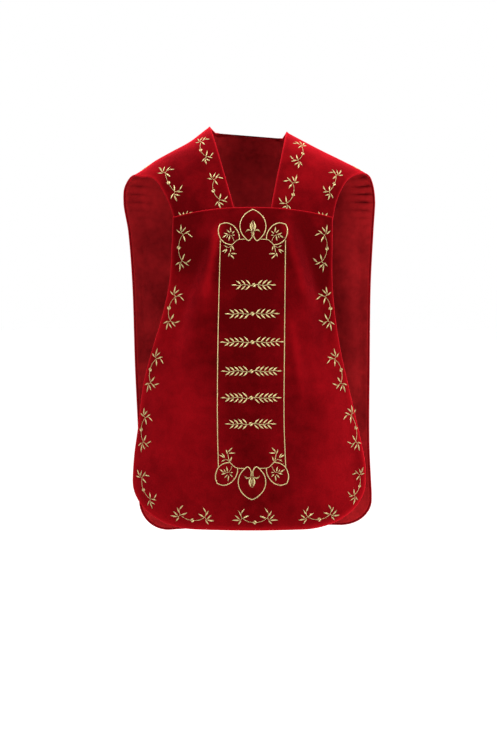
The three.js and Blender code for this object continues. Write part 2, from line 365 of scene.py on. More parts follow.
def hem_height(hem, x, half):
    """Height of a hem: a level or tilted line with a quarter ellipse up to each side edge."""
    past = np.maximum(0, np.abs(x) - (half - hem["across"])) / hem["across"]
    up = np.where(x < 0, hem["up_left"], hem["up_right"])
    return hem["z"] + hem["tilt"] * x + up * (1 - np.sqrt(np.maximum(0, 1 - past**2)))


def by_hand(side, table, key, at):
    """The left or right column of an edge table, by the sign of side."""
    left = curve(table, key, "left", at)
    right = curve(table, key, "right", at)
    return np.where(side < 0, left, right)


def signed_root(drop):
    """Root of a drop that keeps its sign."""
    return np.sign(drop) * np.sqrt(np.abs(drop))


def shares(count, near):
    """Numbers from 0 to 1: even steps, with closer ones at the given distances from each end."""
    near = np.asarray(near, float)
    inner = np.linspace(near[-1], 1 - near[-1], count + 1)[1:-1]
    return np.concatenate([near, inner, 1 - near[::-1]])


def wing_points(side, share, way_in_front, way_behind):
    """Grid over a shoulder: rows from the front end to the nape, columns from the neck edge to
    the arm edge. The root of the drop runs evenly between the two edges."""
    way = np.concatenate([-way_in_front, way_behind])
    size = np.abs(way)
    front = way < 0
    hand = "left" if side < 0 else "right"
    neck_half = np.where(front, NECK_FRONT[hand], NECK_BACK[hand])
    neck_half = NECK_TOP[hand] + (neck_half - NECK_TOP[hand]) * size
    neck_drop = np.where(front, NECK_FRONT["drop"], NECK_BACK["drop"]) * size
    arm_drop = np.where(front, ARM_FRONT_DROP, ARM_BACK_DROP) * size
    roots = {"root": signed_root(np.asarray(ARM_EDGE["drop"], float)), hand: ARM_EDGE[hand]}
    arm_half = curve(roots, "root", hand, signed_root(arm_drop))
    s = share[:, None]
    x = side * (neck_half + (arm_half - neck_half) * s)
    root = signed_root(neck_drop) * (1 - s) + signed_root(arm_drop) * s
    z = shoulder_height(x) - root**2
    y = np.where(root < 0, front_depth(x, z), back_depth(x, z))
    return np.stack([x, y, z], -1)


def back_grid(wing_share, nape_count, ways_front, ways_behind, down):
    """The back cut in one with its wings: wing grids left and right, the nape between them, and
    straight columns from there to the hem. Returns points and the mask of cells with cloth."""
    left = wing_points(-1, wing_share, ways_front, ways_behind)[::-1]
    right = wing_points(1, wing_share, ways_front, ways_behind)
    top = left.shape[1] - 1
    t = np.linspace(0, 1, nape_count + 1)[1:-1, None]
    nape = left[-1, top] * (1 - t) + right[0, top] * t
    start = np.concatenate([left[:, top], nape, right[:, top]])
    x0, z0 = start[:, 0], start[:, 2]
    share = x0 / by_hand(x0, BACK_EDGE, "z", BACK_START_Z)
    widest = by_hand(x0, BACK_EDGE, "z", BACK_HEM["widest_z"])
    hem = hem_height(BACK_HEM, share * widest, widest)
    z = z0[:, None] + (hem - z0)[:, None] * down[None, 1:]
    x = share[:, None] * by_hand(x0[:, None], BACK_EDGE, "z", np.minimum(z, BACK_START_Z))
    fall = np.stack([x, back_depth(x, z), z], -1)
    upper = np.full((len(start), top + 1, 3), np.nan)
    upper[: len(left)] = left
    upper[len(left) : -len(right), top] = nape
    upper[-len(right) :] = right
    points = np.concatenate([upper, fall], 1)
    cells = np.ones((points.shape[0] - 1, points.shape[1] - 1), bool)
    cells[len(left) - 1 : -len(right) + 1, :top] = False
    return points, cells


def front_grid(across, up):
    """The front panel: rows from the hem to the top edge, columns across, on the front form."""
    share = across[:, None]
    widest = by_hand(share, FRONT_EDGE, "z", FRONT_HEM["widest_z"])
    top = FRONT_TOP["z"] - FRONT_TOP["corner_fall"] * np.abs(share) ** FRONT_TOP["power"]
    hem = hem_height(FRONT_HEM, share * widest, widest)
    z = hem + (top - hem) * up[None, :]
    x = share * by_hand(share, FRONT_EDGE, "z", z)
    points = np.stack([x, front_depth(x, z) - OVERLAP_LIFT, z], -1)
    return points, np.ones((points.shape[0] - 1, points.shape[1] - 1), bool)


def corner_ids(cells):
    """For each cell of a grid with cloth: the numbers of its four corners."""
    rows = cells.shape[1] + 1
    c, r = np.nonzero(cells)
    return np.stack([c * rows + r, (c + 1) * rows + r, (c + 1) * rows + r + 1, c * rows + r + 1], 1)


def grid_normals(flat, quads):
    """Normal at each grid point: the sum of the crossed diagonals of the cells around it."""
    face = np.cross(flat[quads[:, 2]] - flat[quads[:, 0]], flat[quads[:, 3]] - flat[quads[:, 1]])
    face /= np.linalg.norm(face, axis=1)[:, None]
    normals = np.zeros_like(flat)
    for k in range(4):
        np.add.at(normals, quads[:, k], face)
    return normals / np.maximum(np.linalg.norm(normals, axis=1), 1e-9)[:, None]


def free_edges(quads):
    """Pairs of points that only one cell uses: the cloth's edges."""
    pairs = np.concatenate([quads[:, [k, (k + 1) % 4]] for k in range(4)])
    _, first, count = np.unique(np.sort(pairs, 1), axis=0, return_index=True, return_counts=True)
    return pairs[first[count == 1]]


def edge_distance(flat, edges, used):
    """Distance of each used point to the nearest free edge, as point to segment."""
    a = flat[edges[:, 0]]
    ab = flat[edges[:, 1]] - a
    length = np.maximum((ab**2).sum(1), 1e-9)
    away = np.full(len(flat), 1e3)
    for part in np.array_split(used, max(1, len(used) // 1500)):
        ap = flat[part][:, None] - a[None]
        t = np.clip((ap * ab).sum(2) / length, 0, 1)
        away[part] = np.sqrt((((ap - t[..., None] * ab)) ** 2).sum(2)).min(1)
    return away


def add_mesh(name, vertices, quads, uv=None):
    """A smooth-shaded mesh from points in mm and quads, with an optional UV per vertex."""
    mesh = bpy.data.meshes.new(name)
    mesh.vertices.add(len(vertices))
    mesh.vertices.foreach_set("co", (vertices * MM).astype(np.float32).ravel())
    mesh.loops.add(quads.size)
    mesh.loops.foreach_set("vertex_index", quads.astype(np.int32).ravel())
    mesh.polygons.add(len(quads))
    mesh.polygons.foreach_set("loop_start", np.arange(0, quads.size, 4, dtype=np.int32))
    mesh.polygons.foreach_set("use_smooth", np.ones(len(quads), bool))
    if uv is not None:
        layer = mesh.uv_layers.new(name="stitch")
        layer.data.foreach_set("uv", uv[quads.ravel()].astype(np.float32).ravel())
    mesh.update(calc_edges=True)
    mesh.validate()
    obj = bpy.data.objects.new(name, mesh)
    bpy.context.scene.collection.objects.link(obj)
    return obj


def rolled(away, half, roll):
    """Height of a face over the cloth's middle: a quarter circle of the roll's radius at the
    edge, easing down to half the cloth's thickness past it."""
    edge = np.sqrt(np.maximum(0, roll**2 - np.maximum(roll - away, 0) ** 2))
    past = half + (roll - half) * np.exp(-((np.maximum(away - roll, 0) / EDGE_BLEND) ** 2))
    return np.where(away < roll, edge, past)


def cloth_shell(name, points, cells, top, thick, mark, inset=0.0, rolls=None, lined=False):
    """A thin closed shell on a grid: an outer face at depth top, an inner face thick below it,
    both closing in a round edge with a roll of its own radius on each side, and all of it drawn
    in from the grid's free edges by inset. Keeps the values that mark gives as attributes, and
    if it is lined gives the inner face, but for its turned edge, the second material. Also
    returns the area in square metres."""
    flat = points.reshape(-1, 3)
    quads = corner_ids(cells)
    used = np.unique(quads)
    normals = grid_normals(flat, quads)
    edges = free_edges(quads)
    border = np.unique(edges)
    if inset:
        flat = drawn_in(flat, normals, edges, inset)
    away = edge_distance(flat, edges, used)
    half = thick / 2
    out_roll, in_roll = rolls or (half, half)
    middle = flat - normals * (top + half)
    outer = middle + normals * rolled(away, half, out_roll)[:, None]
    inner = middle - normals * rolled(away, half, in_roll)[:, None]
    outer[border] = middle[border]
    number = np.full(len(flat), -1)
    number[used] = np.arange(len(used))
    inside = np.setdiff1d(used, border)
    under = number.copy()
    under[inside] = len(used) + np.arange(len(inside))
    vertices = np.concatenate([outer[used], inner[inside]])
    faces = np.concatenate([number[quads], under[quads][:, ::-1]])
    obj = add_mesh(name, vertices, faces)
    if lined:
        past_edge = np.concatenate([np.zeros(len(quads), bool), (away[quads] > LINING_INSET).all(1)])
        obj.data.polygons.foreach_set("material_index", past_edge.astype(np.int32))
    for attribute, value in mark(flat, away).items():
        layer = obj.data.attributes.new(attribute, "FLOAT", "POINT")
        layer.data.foreach_set("value", np.concatenate([value[used], value[inside]]).astype(np.float32))
    side = flat[quads]
    area = np.linalg.norm(np.cross(side[:, 2] - side[:, 0], side[:, 3] - side[:, 1]), axis=1).sum() / 2
    return obj, area * 1e-6


def patches(table, p):
    """Sum of soft patches, each a bell of its half-width and half-height."""
    lies = np.zeros(len(p))
    for x, z, wide, high, strength in table:
        lies += strength * np.exp(-(((p[:, 0] - x) / wide) ** 2) - ((p[:, 2] - z) / high) ** 2)
    return np.nan_to_num(lies)


def edge_sheen_bell(away, shows):
    """Painted sheen on a turned edge: a bell of the distance to it, wider where it shows more."""
    return shows * np.exp(-((away / (EDGE_SHEEN_WIDE * (0.6 + shows))) ** 2))


def front_marks(p, away):
    """The front panel's painted light and shade: patches, highlights on its ridges and sheen on its
    sides and hem. Its painted edge sheen shows more below LOW_START, most at the right."""
    low = np.clip((LOW_START - p[:, 2]) / 150, 0, 1)
    turn = np.clip((TURN_START - p[:, 2]) / 40, 0, 1) + low
    # Painted light and shade in patches, and painted highlights along the ridges
    nap = patches(FRONT_PAINTED_LIGHT, p) + fold_rise(FRONT_RIDGE_HIGHLIGHTS, p[:, 0], p[:, 2])
    # Painted sheen along the sides and hem
    nap += 1.1 * turn * np.exp(-((away / SIDE_SHEEN_WIDE) ** 2))
    right = p[:, 0] > FRONT_EDGE_SHOWS["right_from"]
    # Painted sheen on the turned edge, brighter below LOW_START
    shows = EDGE_SHOWS + low * np.where(right, FRONT_EDGE_SHOWS["right"], FRONT_EDGE_SHOWS["left"])
    return {"nap": nap, "turned_edge": edge_sheen_bell(away, shows)}


def back_marks(p, away):
    """Painted light and shade of the back and its wings: one table in front of the shoulders and
    one behind, blended over the ridge; and painted sheen on the edges."""
    front = np.nan_to_num(1 / (1 + np.exp(np.clip(p[:, 1] / 12, -30, 30))))
    # Painted light and shade, the front and back tables blended over the ridge
    nap = front * patches(WING_PAINTED_LIGHT, p) + (1 - front) * patches(BACK_PAINTED_LIGHT, p)
    return {"nap": nap, "turned_edge": edge_sheen_bell(away, EDGE_SHOWS)}


def lining_marks(p, away):
    """The lining: painted light in patches and a little all over, painted sheen at its edges, and
    gathers inside the shoulders.
    """
    # Painted light in patches, and a little all over
    nap = patches(LINING_PAINTED_LIGHT, p) + LINING_LIFT
    return {"nap": nap, "turned_edge": edge_sheen_bell(away, EDGE_SHOWS), "gather": patches(LINING_GATHERS, p)}


def drawn_in(flat, normals, edges, inset):
    """Points moved away from the free edges: along the inward direction of the edge, in full at
    the edge and fading over four insets."""
    along = flat[edges[:, 1]] - flat[edges[:, 0]]
    inward = np.cross(normals[edges[:, 0]] + normals[edges[:, 1]], along)
    inward /= np.maximum(np.linalg.norm(inward, axis=1), 1e-9)[:, None]
    border, back = np.unique(edges.ravel(), return_inverse=True)
    push = np.zeros((len(border), 3))
    np.add.at(push, back, np.repeat(inward, 2, axis=0))
    push /= np.maximum(np.linalg.norm(push, axis=1), 1e-9)[:, None]
    moved = flat.copy()
    live = np.nonzero(~np.isnan(flat[:, 0]))[0]
    for part in np.array_split(live, max(1, len(live) // 3000)):
        gap = np.linalg.norm(flat[part][:, None] - flat[border][None], axis=2)
        near = gap.argmin(1)
        fade = np.clip(1 - gap[np.arange(len(part)), near] / (4 * inset), 0, 1)
        moved[part] += push[near] * (inset * fade)[:, None]
    return moved


def surface_frame(at, u, v):
    """A surface's point, its tangents by central differences of 1 mm, and unit normal."""
    tu = (at(u + 1, v) - at(u - 1, v)) / 2
    tv = (at(u, v + 1) - at(u, v - 1)) / 2
    n = np.cross(tu, tv)
    return at(u, v), tu, tv, n / np.linalg.norm(n, axis=-1)[..., None]


def front_at(x, z):
    """Front panel: across and height give depth."""
    return np.stack([x, front_depth(x, z) - OVERLAP_LIFT, z], -1)


# Grids of the back's profiles over the shoulder: x, root of the drop, and length along the cloth
PROFILE_X = np.linspace(-336, 336, 85)
PROFILE_ROOT = np.linspace(-17.5, 33.5, 511)
PROFILE_LENGTH = np.arange(-330.0, 1201.0, 3.0)


def profile_tables():
    """For each x, the length along the cloth from the ridge at each root of the drop, and its
    inverse: the root at each length."""
    x, root = np.meshgrid(PROFILE_X, PROFILE_ROOT, indexing="ij")
    z = shoulder_height(x) - root**2
    y = np.where(root < 0, front_depth(x, z), back_depth(x, z))
    step = np.hypot(np.diff(y, axis=1), np.diff(z, axis=1))
    length = np.concatenate([np.zeros((len(x), 1)), step.cumsum(1)], 1)
    zero = np.array([np.interp(0, PROFILE_ROOT, row) for row in length])
    length -= zero[:, None]
    roots = np.array([np.interp(PROFILE_LENGTH, row, PROFILE_ROOT) for row in length])
    return length, roots


LENGTH_AT_ROOT, ROOT_AT_LENGTH = profile_tables()


def blend_table(table, grid_x, grid_v, x, v):
    """Bilinear value of a table over its two grids."""
    i = np.clip((x - grid_x[0]) / (grid_x[1] - grid_x[0]), 0, len(grid_x) - 1.001)
    j = np.clip((v - grid_v[0]) / (grid_v[1] - grid_v[0]), 0, len(grid_v) - 1.001)
    a, b = i.astype(int), j.astype(int)
    fa, fb = i - a, j - b
    low = table[a, b] * (1 - fb) + table[a, b + 1] * fb
    high = table[a + 1, b] * (1 - fb) + table[a + 1, b + 1] * fb
    return low * (1 - fa) + high * fa


def back_at(x, length):
    """Back panel and wings: across, and length along the cloth from the ridge, less than zero
    in front of it."""
    x, length = np.broadcast_arrays(np.asarray(x, float), np.asarray(length, float))
    root = blend_table(ROOT_AT_LENGTH, PROFILE_X, PROFILE_LENGTH, x, length)
    z = shoulder_height(x) - root**2
    y = np.where(root < 0, front_depth(x, z), back_depth(x, z))
    return np.stack([x, y, z], -1)


def length_at(x, z, behind):
    """Length along the cloth from the ridge at x and height z."""
    drop = np.maximum(shoulder_height(x) - z, 0)
    root = np.sqrt(drop) * (1 if behind else -1)
    return blend_table(LENGTH_AT_ROOT, PROFILE_X, PROFILE_ROOT, np.asarray(x, float), root)


def facing(flat, quads):
    """Above 0 where a flat shape's quads turn to the left, below 0 where they turn to the right."""
    a, b, d = (flat[quads[:, k]] for k in (0, 1, 2))
    return np.sum((b - a)[:, 0] * (d - a)[:, 1] - (b - a)[:, 1] * (d - a)[:, 0])


def length_here(x, z, behind):
    """Length along the cloth from the ridge at one place."""
    return float(length_at(np.array([x]), z, behind)[0])


class Stitching:
    """Raised stitched shapes gathered into one mesh: points, quads and stitch UVs. Each lies on
    a surface, a function of two lengths in mm."""

    def __init__(self):
        self.points, self.quads, self.uv, self.count = [], [], [], 0

    def add(self, points, quads, uv):
        """Keeps one shape's arrays, its quads numbered on from the last shape's."""
        self.points.append(points)
        self.quads.append(quads + self.count)
        self.uv.append(uv)
        self.count += len(points)

    def on(self, surface, shape, u, v):
        """Adds a flat shape whose points are already at u and v on the surface."""
        p, _, _, n = surface_frame(surface, u, v)
        quads = shape["quads"]
        if facing(np.stack([u, v], 1), quads) < 0:
            quads = quads[:, ::-1]
        self.add(p + n * shape["rise"][:, None], quads, shape["uv"])

    def placed(self, surface, shape, u0, v0, direction):
        """Adds a flat shape in mm about a place, its first axis along a direction on the cloth."""
        centre = np.array([u0]), np.array([v0])
        _, tu, tv, n = (value[0] for value in surface_frame(surface, *centre))
        along = direction - n * (direction @ n)
        along /= np.linalg.norm(along)
        beside = np.cross(n, along)
        metric = np.array([[tu @ tu, tu @ tv], [tu @ tv, tv @ tv]])
        turn = np.array([[tu @ along, tu @ beside], [tv @ along, tv @ beside]])
        steps = shape["flat"] @ np.linalg.solve(metric, turn).T
        self.on(surface, shape, u0 + steps[:, 0], v0 + steps[:, 1])

    def mesh(self, name):
        """All the shapes as one mesh."""
        return add_mesh(name, *(np.concatenate(part) for part in (self.points, self.quads, self.uv)))


def grid_quads(long, wide):
    """Quads of a grid of points, long by wide."""
    a, b = np.meshgrid(np.arange(long - 1), np.arange(wide - 1), indexing="ij")
    first = a * wide + b
    return np.stack([first, first + wide, first + wide + 1, first + 1], -1).reshape(-1, 4)


def leaf(long, wide, high=1.2, bend=0.0):
    """A satin-stitch leaf from the origin along +a: the outline's half-width is a power of a
    sine of the skewed share of its length, the section a dome with a groove along the middle."""
    s, c = np.meshgrid(np.linspace(0, 1, 10), np.linspace(-1, 1, 7), indexing="ij")
    half = wide / 2 * LEAF_FULLNESS * np.sin(np.pi * s**0.9) ** 1.15 + 0.1
    a = s * long
    b = c * half + bend * long * np.sin(np.pi * s)
    dome = np.sqrt(np.maximum(0, 1 - c**2)) * np.sin(np.pi * np.clip(s, 0.03, 0.97)) ** 0.4
    rise = high * dome * (1 - 0.3 * np.exp(-((c / 0.2) ** 2))) - 0.15
    flat = np.stack([a.ravel(), b.ravel()], 1)
    uv = np.stack([(a + np.abs(b) * 0.8).ravel(), b.ravel()], 1)
    return {"flat": flat, "rise": rise.ravel(), "uv": uv, "quads": grid_quads(10, 7)}


def leaf_between(base, tip, wide, high=1.2, bend=0.0):
    """A leaf from its base to its tip."""
    way = np.subtract(tip, base)
    long = float(np.hypot(*way))
    return moved(leaf(long, wide, high, bend), *base, math.atan2(way[1], way[0]))


def leaves(table):
    """Leaves from a table's rows: base and tip as a and b, and width."""
    return [leaf_between((a0, b0), (a1, b1), wide) for a0, b0, a1, b1, wide in table]


def stroke(path, wide, high, taper=False):
    """A stitched line along a path: a rounded section carried along it, narrowing to its ends
    if it tapers."""
    path = np.asarray(path, float)
    step = np.gradient(path, axis=0)
    step /= np.maximum(np.linalg.norm(step, axis=1), 1e-9)[:, None]
    side = np.stack([-step[:, 1], step[:, 0]], 1)
    run = np.concatenate([[0], np.linalg.norm(np.diff(path, axis=0), axis=1).cumsum()])
    width = np.full(len(path), wide / 2)
    if taper:
        width *= np.clip(np.minimum(run, run[-1] - run) / (1.5 * wide), 0.25, 1)
    c = np.linspace(-1, 1, 6)
    flat = path[:, None] + side[:, None] * (width[:, None] * c)[..., None]
    rise = high * np.sqrt(np.maximum(0, 1 - c**2)) * (width / (wide / 2))[:, None] - 0.15
    uv = np.stack([np.repeat(run, 6), (width[:, None] * c).ravel()], 1)
    quads = grid_quads(len(path), 6)[:, ::-1]
    return {"flat": flat.reshape(-1, 2), "rise": rise.ravel(), "uv": uv, "quads": quads}


def berry(radius, high=1.5, slit=40.0):
    """A round bean: a dome of rings with a groove across it at the angle of its slit."""
    rings, spokes = 8, 20
    turns = np.linspace(0, 2 * np.pi, spokes, endpoint=False)
    r, t = np.meshgrid(np.linspace(0.02, 1, rings), turns, indexing="ij")
    flat = np.stack([radius * r * np.cos(t), radius * r * np.sin(t)], -1).reshape(-1, 2)
    across = r * np.sin(t - math.radians(slit))
    groove = 1 - 1.25 * np.exp(-((across / 0.3) ** 2))
    rise = high * np.sqrt(np.maximum(0, 1 - r**2)) ** 0.7 * groove - 0.15
    quads = grid_quads(rings, spokes + 1)
    quads = quads // (spokes + 1) * spokes + quads % (spokes + 1) % spokes
    uv = np.stack([flat[:, 1], flat[:, 0]], 1)
    return {"flat": flat, "rise": rise.ravel(), "uv": uv, "quads": quads}


def moved(shape, a, b, angle=0.0):
    """The shape turned by an angle in radians and moved to a and b."""
    turn = np.array([[math.cos(angle), math.sin(angle)], [-math.sin(angle), math.cos(angle)]])
    return {**shape, "flat": shape["flat"] @ turn + (a, b)}


def scaled(shape, along, across):
    """The shape scaled along its two axes, or mirrored by a scale of -1."""
    return {**shape, "flat": shape["flat"] * (along, across)}


def joined(shapes):
    """Several flat shapes as one, their quads facing the same way."""
    quads, count = [], 0
    for s in shapes:
        turn = facing(s["flat"], s["quads"])
        quads.append((s["quads"] if turn > 0 else s["quads"][:, ::-1]) + count)
        count += len(s["flat"])
    whole = {key: np.concatenate([s[key] for s in shapes]) for key in ("flat", "rise", "uv")}
    return {**whole, "quads": np.concatenate(quads)}


def smooth_path(points, count):
    """A path of count points through a few, by cubic Hermite pieces over the chord length."""
    points = np.asarray(points, float)
    run = np.concatenate([[0], np.linalg.norm(np.diff(points, axis=0), axis=1).cumsum()])
    at = np.linspace(run[0], run[-1], count)
    return np.stack([curve({"s": run, "v": points[:, k]}, "s", "v", at) for k in (0, 1)], 1)


# The leaves at the left end of a border sprig, in mm from the middle of its knot: base and tip
# as a and b, and width
CLUSTER = (
    (-37.0, 4.7, -56.0, 4.7, 5.0),
    (-36.0, 6.6, -48.0, 17.4, 4.3),
    (-32.2, 14.0, -40.4, 28.2, 4.0),
    (-33.0, 22.4, -24.9, 35.0, 4.1),
    (-28.2, 10.2, -12.3, 16.5, 5.2),
    (-32.6, 4.6, -41.4, -6.5, 4.3),
)
CLUSTER_NODE = (-30.5, 10.8)
CLUSTER_TWIGS = (
    (CLUSTER_NODE, (-33.5, 6.6), (-37.5, 4.8)),
    (CLUSTER_NODE, (-32, 14), (-33, 18), (-33, 23)),
)
# Half of the column's looped end, in mm from the middle of its base line: outlines of the
# middle loop, side loop and arc, and leaves as base, tip and width
MIDDLE_LOOP = (
    (-2.3, 19), (-1.9, 9), (-4.2, 3), (-10.3, -2.6), (-19, 4.2), (-27.6, 15.6), (-31.6, 30),
    (-30, 44), (-23.5, 56.8), (-11.6, 68), (0, 74),
)
SIDE_LOOP_OUT = (
    (-80.5, 37.3), (-84.5, 25), (-83.3, 12.5), (-78.3, 0.7), (-70.5, -6.8), (-61.5, -11), (-51, -12.9),
)
SIDE_LOOP_IN = ((-80.5, 37.3), (-65, 40.8), (-49.8, 35), (-38.8, 22.8), (-33.9, 10.5), (-33.3, 0.6))
LOOP_ARC = (
    (-17, 1), (-26, 1), (-33.5, 0.2), (-39.5, -2), (-45.4, -7), (-51, -12.9), (-54, -22), (-55.5, -31),
)
LOOP_TWIGS = (
    ((-46.2, -3.6), (-48.6, 3.2), (-53.5, 10.0), (-60.2, 11.6)),
    ((-51, -12.9), (-55.5, -17), (-61.5, -20.0)),
)
LOOP_LEAVES = (
    (-53.5, 17.5, -55.5, 31.5, 4.0),
    (-56.0, 16.0, -63.9, 24.0, 3.6),
    (-51.3, 14.2, -44.5, 21.3, 3.6),
    (-59.8, 12.0, -71.3, 16.2, 4.2),
    (-65.0, 11.3, -75.2, 4.0, 4.0),
    (-61.5, 10.6, -64.8, 3.2, 3.0),
    (-56.6, 9.6, -59.0, -3.2, 4.2),
    (-50.2, 11.1, -44.0, 10.2, 3.0),
    (-61.8, -18.9, -70.7, -14.0, 3.4),
    (-62.6, -22.8, -76.5, -29.9, 4.2),
    (-62.4, -23.6, -69.8, -33.6, 3.8),
    (-50.4, -15.0, -46.4, -26.6, 4.2),
    (-54.7, -34.2, -39.0, -34.6, 4.2),
    (-55.8, -36.4, -45.0, -47.5, 4.2),
    (-56.6, -31.8, -60.2, -42.4, 4.0),
)
BUD_PETALS = (
    (-1.4, 19.5, -0.8, 46.0, 5.4, 0.17),
    (-2.6, 20.5, -18.8, 17.2, 5.4, -0.3),
)


def cluster(seed, size):
    """The leaves at a sprig's left end, each tip a little off its set place, with their twigs."""
    rng = np.random.default_rng(seed)
    shapes = []
    for a0, b0, a1, b1, wide in CLUSTER:
        tip = (a1 + rng.uniform(-1.2, 1.2), b1 + rng.uniform(-1.2, 1.2))
        shapes.append(leaf_between((a0, b0), tip, wide, bend=rng.uniform(-0.03, 0.03)))
    shapes += [stroke(smooth_path(path, 6), STEM_WIDE, 0.7) for path in CLUSTER_TWIGS]
    whole = joined(shapes)
    return {**whole, "flat": (whole["flat"] - CLUSTER_NODE) * size}


def sprig(long, seed, bow=1.0):
    """A border sprig along the first axis: a stem bowed below it with a bean-shaped knot in the
    middle, and a leaf cluster at each end."""
    size = min(1.0, long / SPRIG_LONG)
    left = cluster(seed, size)
    right = cluster(seed + 500, size)
    left = moved(left, -long / 2, 0)
    right = moved(scaled(right, -1, 1), long / 2, 0)
    t = np.linspace(-1, 1, 25)
    sag = SPRIG_SAG * size * bow
    stem = np.stack([t * long / 2, -sag * (1 - np.abs(t) ** 2.4)], 1)
    shapes = [left, right, stroke(stem, STEM_WIDE, 0.8)]
    slit = 40.0 if seed % 2 else 140.0
    return joined(shapes + [moved(berry(KNOT_RADIUS * size, slit=slit), 0, -sag)])


def spray(long, seed):
    """A straight spray of leaves about a knot, in pairs along a lightly waved stem."""
    rng = np.random.default_rng(seed)
    t = np.linspace(-1, 1, 31)
    stem = np.stack([t * long / 2, 1.4 * np.sin(3 * np.pi * t)], 1)
    shapes = [stroke(stem, STEM_WIDE + 0.3, 0.8, taper=True), berry(4.8)]
    count = int(long / 2 / 12.5)
    for hand in (-1, 1):
        for k in range(count):
            at = 9 + k * (long / 2 - 12) / count
            for up in (-1, 1):
                tip = (at + 12.0 + rng.uniform(-1, 1), (13.0 - 0.8 * k + rng.uniform(-0.8, 0.8)))
                shape = leaf_between((at, 0.6), tip, 4.8, bend=0.04)
                shapes.append(scaled(shape, hand, up))
        end = leaf_between((long / 2 - 5, 0), (long / 2 + 9, 0), 4.4)
        shapes.append(scaled(end, hand, 1))
    return joined(shapes)


def terminal():
    """The looped end of the column: a pointed middle loop whose lower ends turn up into a lily
    bud, two leaf-shaped side loops on an arc, and small sprays in and below them."""
    half = [
        stroke(smooth_path(MIDDLE_LOOP, 56), FRAME_WIDE, 1.1),
        stroke(smooth_path(SIDE_LOOP_OUT, 30), FRAME_WIDE, 1.1),
        stroke(smooth_path(SIDE_LOOP_IN, 34), FRAME_WIDE, 1.1),
        stroke(smooth_path(LOOP_ARC, 30), ARC_WIDE, 0.9),
    ]
    half += [stroke(smooth_path(path, 10), STEM_WIDE, 0.7) for path in LOOP_TWIGS]
    half += leaves(LOOP_LEAVES)
    half += [leaf_between((a0, b0), (a1, b1), wide, 1.5, bend) for a0, b0, a1, b1, wide, bend in BUD_PETALS]
    whole = []
    for shape in half:
        whole += [shape, scaled(shape, -1, 1)]
    whole.append(leaf_between((0, 22), (0, 42), 3.8, 1.7))
    return joined(whole)


def column(stitching, surface, place, top, base):
    """The framed column: a line down each side between the two looped ends. place turns column
    coordinates into the surface's own."""
    end = terminal()
    for base_z, sign, scale in ((top, 1, 1.0), (base, -1, COLUMN_BASE_SCALE)):
        z = base_z + sign * scale * end["flat"][:, 1]
        x = curve(COLUMN, "z", "mid", np.full(1, base_z)) + scale * end["flat"][:, 0]
        stitching.on(surface, end, *place(x, z))
    for hand in (-1, 1):
        z = np.linspace(top - 2, base + 2, 120)
        x = curve(COLUMN, "z", "mid", z) + hand * curve(COLUMN, "z", "half", z)
        line = stroke(np.stack([x, z], 1), FRAME_WIDE, 1.1)
        stitching.on(surface, line, *place(line["flat"][:, 0], line["flat"][:, 1]))


def sew_sprig(stitching, surface, u0, v0, u1, v1, bow, seed):
    """A border sprig between two places on a surface, bowed to one side of the way."""
    ends = surface(np.array([u0, u1], float), np.array([v0, v1], float))
    shape = sprig(np.linalg.norm(ends[1] - ends[0]), seed, abs(bow))
    shape = scaled(shape, 1, math.copysign(1, bow))
    stitching.placed(surface, shape, (u0 + u1) / 2, (v0 + v1) / 2, ends[1] - ends[0])


def back_border(hand):
    """Path inside the back's edge, from the shoulder down the side and round the corner to the
    middle of the hem: places at equal steps along the cloth, as x and length from the ridge."""
    widest = float(by_hand(hand, BACK_EDGE, "z", BACK_HEM["widest_z"]))
    up = BACK_HEM["up_left"] if hand < 0 else BACK_HEM["up_right"]
    across = BACK_HEM["across"]
    z_side = np.linspace(-215, BACK_HEM["z"] + up, 60)
    x_side = by_hand(hand, BACK_EDGE, "z", z_side) - BORDER_INSET
    t = np.linspace(0, np.pi / 2, 30)[1:]
    x_turn = widest - across + (across - BORDER_INSET) * np.cos(t)
    z_turn = BACK_HEM["z"] + BORDER_INSET + (up - BORDER_INSET) * (1 - np.sin(t))
    x_hem = np.linspace(x_turn[-1], 0, 40)[1:]
    x = hand * np.concatenate([x_side, x_turn, x_hem])
    z = np.concatenate([z_side, z_turn, np.full(39, z_turn[-1])])
    z = z + BACK_HEM["tilt"] * x * np.clip((z_side[0] - z) / 700, 0, 1)
    start = np.array(BORDER_START) * (hand, 1)
    x = np.concatenate([start[:, 0], x])
    v = np.concatenate([start[:, 1], length_at(x[len(start) :], z, True)])
    points = back_at(x, v)
    run = np.concatenate([[0], np.linalg.norm(np.diff(points, axis=0), axis=1).cumsum()])
    return run, x, v


def sew_front():
    """All the embroidery of the front panel."""
    s = Stitching()
    for k, sprig_row in enumerate(FRONT_SPRIGS):
        sew_sprig(s, front_at, *sprig_row, 10 + k)
    column(s, front_at, lambda x, z: (x, z), *FRONT_COLUMN)
    for k, (x, z, long) in enumerate(ROW_SPRAYS):
        s.placed(front_at, spray(long, 80 + k), x, z, ACROSS)
    return s.mesh("embroidery_front")


